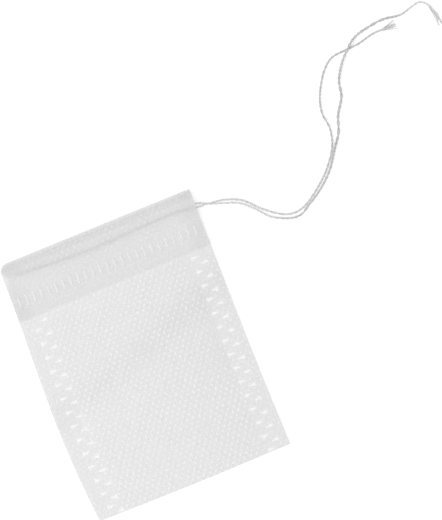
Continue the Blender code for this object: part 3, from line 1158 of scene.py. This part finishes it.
def nonwovenMaterial(bottomFold):
    material, tree, shader = newMaterial("whiteNonwoven")
    uv = uvWire(tree, "cut")
    across, travel = splitXY(uv)
    away = travel - bottomFold
    fromFold = calc("ABSOLUTE", away)
    # the columns of dots lean, so the front's and the back's dots meet in broad slanted bands
    width = pouch["width"] * 1000
    lean = remap(across, 0.0, width, *web["lean"])
    bend = remap(across, 0.0, width, 0.0, web["bendRight"])
    slope = calc("POWER", fromFold, 2.0) * bend + lean
    row = away + dotRows["rowPitch"] * web["rowShift"]
    dots, chance = addGroup(dotBond, joinXYZ(away * slope + across, row))
    fibres, clouds = addGroup(fibreFleece, uv)
    bodyEnd = (pouch["length"] - hemDepth) * 1000
    top = bodyEnd + (hemDepth - foldRadius) * 1000
    hem = remap(fromFold, *around(bodyEnd, "hemBlend"))
    # the dots are fainter along the welded sides, and in broad patches
    strength = remap(chance, 0.0, 1.0, *web["dotStrengths"])
    inner = calc("MINIMUM", across, calc("SUBTRACT", width, across))
    beside = remap(inner, *web["sideBlend"], web["sideDots"], 1.0)
    faint = remap(streaks(uv, *web["patches"]), *web["patchRange"], *web["patchDots"])
    pressed = dots * (strength * (beside * faint))
    # how dense the web is,
    thick = fibres * web["fibreDensity"] + remap(hem, 0.0, 1.0, *web["thinnest"])
    thick = clouds * web["cloudDensity"] + thick
    hemDensity = remap(fromFold, top, top + 1.0, *web["hemDots"])
    opening = pressed * remap(hem, 0.0, 1.0, web["dots"], hemDensity) + 1.0
    # and how white, with shade painted onto it in places
    tone = clouds * web["cloudTone"] + fibres * (1 - web["cloudTone"])
    bodyTone = remap(tone, 0.0, 1.0, *web["bodyColours"])
    hemTone = remap(tone, 0.0, 1.0, *web["hemColours"])
    # painted shade in a soft band across the front
    middle = across * web["bandSlant"] + web["bandPlace"] + clouds * web["bandWander"]
    off = calc("ABSOLUTE", away + middle)
    paintedBand = remap(off, 0.0, web["bandWidth"], web["bandPaintedShade"], 0.0, smooth=True)
    # painted shade, darker towards the right side
    side = remap(across, width / 2, width, 0.0, web["sidePaintedShade"])
    bodyTone = bodyTone - (paintedBand + side)
    # painted shade in the hem just below its mouth fold
    start = remap(fromFold, *around(top, "foldPaintedShadeStart"))
    end = remap(fromFold, *around(top, "foldPaintedShadeEnd"))
    lowEnd = bodyEnd + web["hemLowReach"]
    low = remap(fromFold, bodyEnd, lowEnd, web["hemLowShade"], 0.0, smooth=True)
    # painted shade at the hem's open sides, against the light they let in between its layers
    left = remap(across, 0.0, web["edgeReach"], web["edgePaintedShades"][0], 0.0)
    right = remap(across, width - web["edgeReach"], width, 0.0, web["edgePaintedShades"][1])
    hemTone = hemTone - ((start - end) * web["foldPaintedShade"] + low) - (left + right)
    value = wiresOf("Mix", {0: hem, 2: bodyTone, 3: hemTone}, data_type="FLOAT")[0]
    colour = wiresOf("CombineColor", {0: value, 1: value, 2: value})[0]
    whiteness = pressed * remap(hem, 0.0, 1.0, *web["dotWhiteness"])
    feed(shader, {
        "Base Color": mixColour(whiteness, colour, greyOf(1.0)),
        "Alpha": calc("MULTIPLY", thick, opening, clamp=True),
        "Roughness": remap(pressed, 0.0, 1.0, *web["roughness"]),
        "Specular IOR Level": web["specular"],
        "Normal": addBump(fibres * web["fibreRelief"] - pressed, web["bump"], web["bumpDepth"]),
    })
    return material


melted = {
    "seamCover": (0.32, 0.35),
    "dashCover": (0.96, 1.00),
    "greys": (0.99, 1.00),
    "roughness": (0.45, 0.65),
    "bump": 0.4,
    "bumpDepth": 0.00003,
}


def weldMaterial(name, cover):
    material, tree, shader = newMaterial(name)
    place = Wire(addNode(tree, "TexCoord").outputs["Object"])
    fibres = addGroup(fibreFleece, vectorCalc("SCALE", place, 1000.0))[0]
    darkest, lightest = melted["greys"]
    feed(shader, {
        "Base Color": mixColour(fibres, greyOf(darkest), greyOf(lightest)),
        "Alpha": remap(fibres, 0.0, 1.0, *cover),
        "Roughness": remap(fibres, 0.0, 1.0, *melted["roughness"]),
        "Normal": addBump(fibres, melted["bump"], melted["bumpDepth"]),
    })
    return material


def makePouch():
    sheet, cutLength, bottomFold = foldSheet()
    slots = (
        nonwovenMaterial(bottomFold * 1000),
        weldMaterial("meltedSeam", melted["seamCover"]),
        weldMaterial("meltedDash", melted["dashCover"]),
    )
    setMaterials(sheet, slots)
    wall = sheet.modifiers.new("wall", "SOLIDIFY")
    wall.thickness = pouch["sheet"]
    wall.offset = 0.0
    wall.use_even_offset = True
    applyModifiers(sheet)
    weldSheet(sheet, slots)
    makeActive(sheet)
    bpy.ops.object.shade_smooth_by_angle(angle=radians(35))
    return sheet, cutLength


filterPouch, cutLength = makePouch()
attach(filterPouch, "root")
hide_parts("filter_pouch")
print("pouch made, cut length", round(cutLength, 4))


# Floor and light

studio = {
    "floorSize": 6.0,
    "floorColour": greyOf(0.95),
    "floorLevel": -0.00002,
    "floorGlow": 0.32,  # what the floor adds for the eye alone, so that it reads as white
    "skyStrength": 0.70,
    "keySize": 0.9,
    "keyPlace": (-1.25, -0.10, 1.20),
    "keyEnergy": 8.5,
    "throughLayers": 32,  # clear faces that a ray may pass in the cloth's four layers
    "betweenLayers": 28,  # bounces of light between them
}


def addFloor():
    bpy.ops.mesh.primitive_plane_add(size=studio["floorSize"])
    floor = bpy.context.active_object
    floor.name = "floor"
    material, tree = newMaterial("paleFloor")[:2]
    tree.nodes.remove(tree.nodes["Principled BSDF"])
    matt = addNode(tree, "BsdfDiffuse")
    feed(matt.inputs, {"Color": studio["floorColour"]})
    rays = addNode(tree, "LightPath").outputs
    seen = calc("MAXIMUM", Wire(rays["Is Camera Ray"]), Wire(rays["Is Glossy Ray"]))
    seen = calc("MAXIMUM", seen, Wire(rays["Is Transmission Ray"]))
    glow = wiresOf("Emission", {"Strength": seen * studio["floorGlow"]})[0]
    both = wiresOf("AddShader", {0: Wire(matt.outputs[0]), 1: glow})[0]
    feed(tree.nodes["Material Output"].inputs, {"Surface": both})
    setMaterials(floor, [material])
    floor.location.z = studio["floorLevel"]


def addLight():
    world = bpy.data.worlds.new("softSky")
    scene.world = world
    world.use_nodes = True
    rays = addNode(world.node_tree, "LightPath").outputs
    strength = remap(Wire(rays["Is Camera Ray"]), 0.0, 1.0, studio["skyStrength"], 1.0)
    sky = world.node_tree.nodes["Background"]
    feed(sky.inputs, {"Color": greyOf(1.0), "Strength": strength})
    data = bpy.data.lights.new("key", "AREA")
    data.shape = "DISK"
    data.size = studio["keySize"]
    data.energy = studio["keyEnergy"]
    lamp = addObject("key", data)
    lamp.location = studio["keyPlace"]
    lamp.rotation_mode = "QUATERNION"
    lamp.rotation_quaternion = (-lamp.location).to_track_quat("-Z", "Y")


addFloor()
addLight()
cycles = scene.cycles
cycles.transparent_max_bounces = studio["throughLayers"]
cycles.max_bounces = studio["betweenLayers"]
cycles.diffuse_bounces = studio["betweenLayers"]
scene.view_settings.view_transform = "Standard"
print("floor and light set")
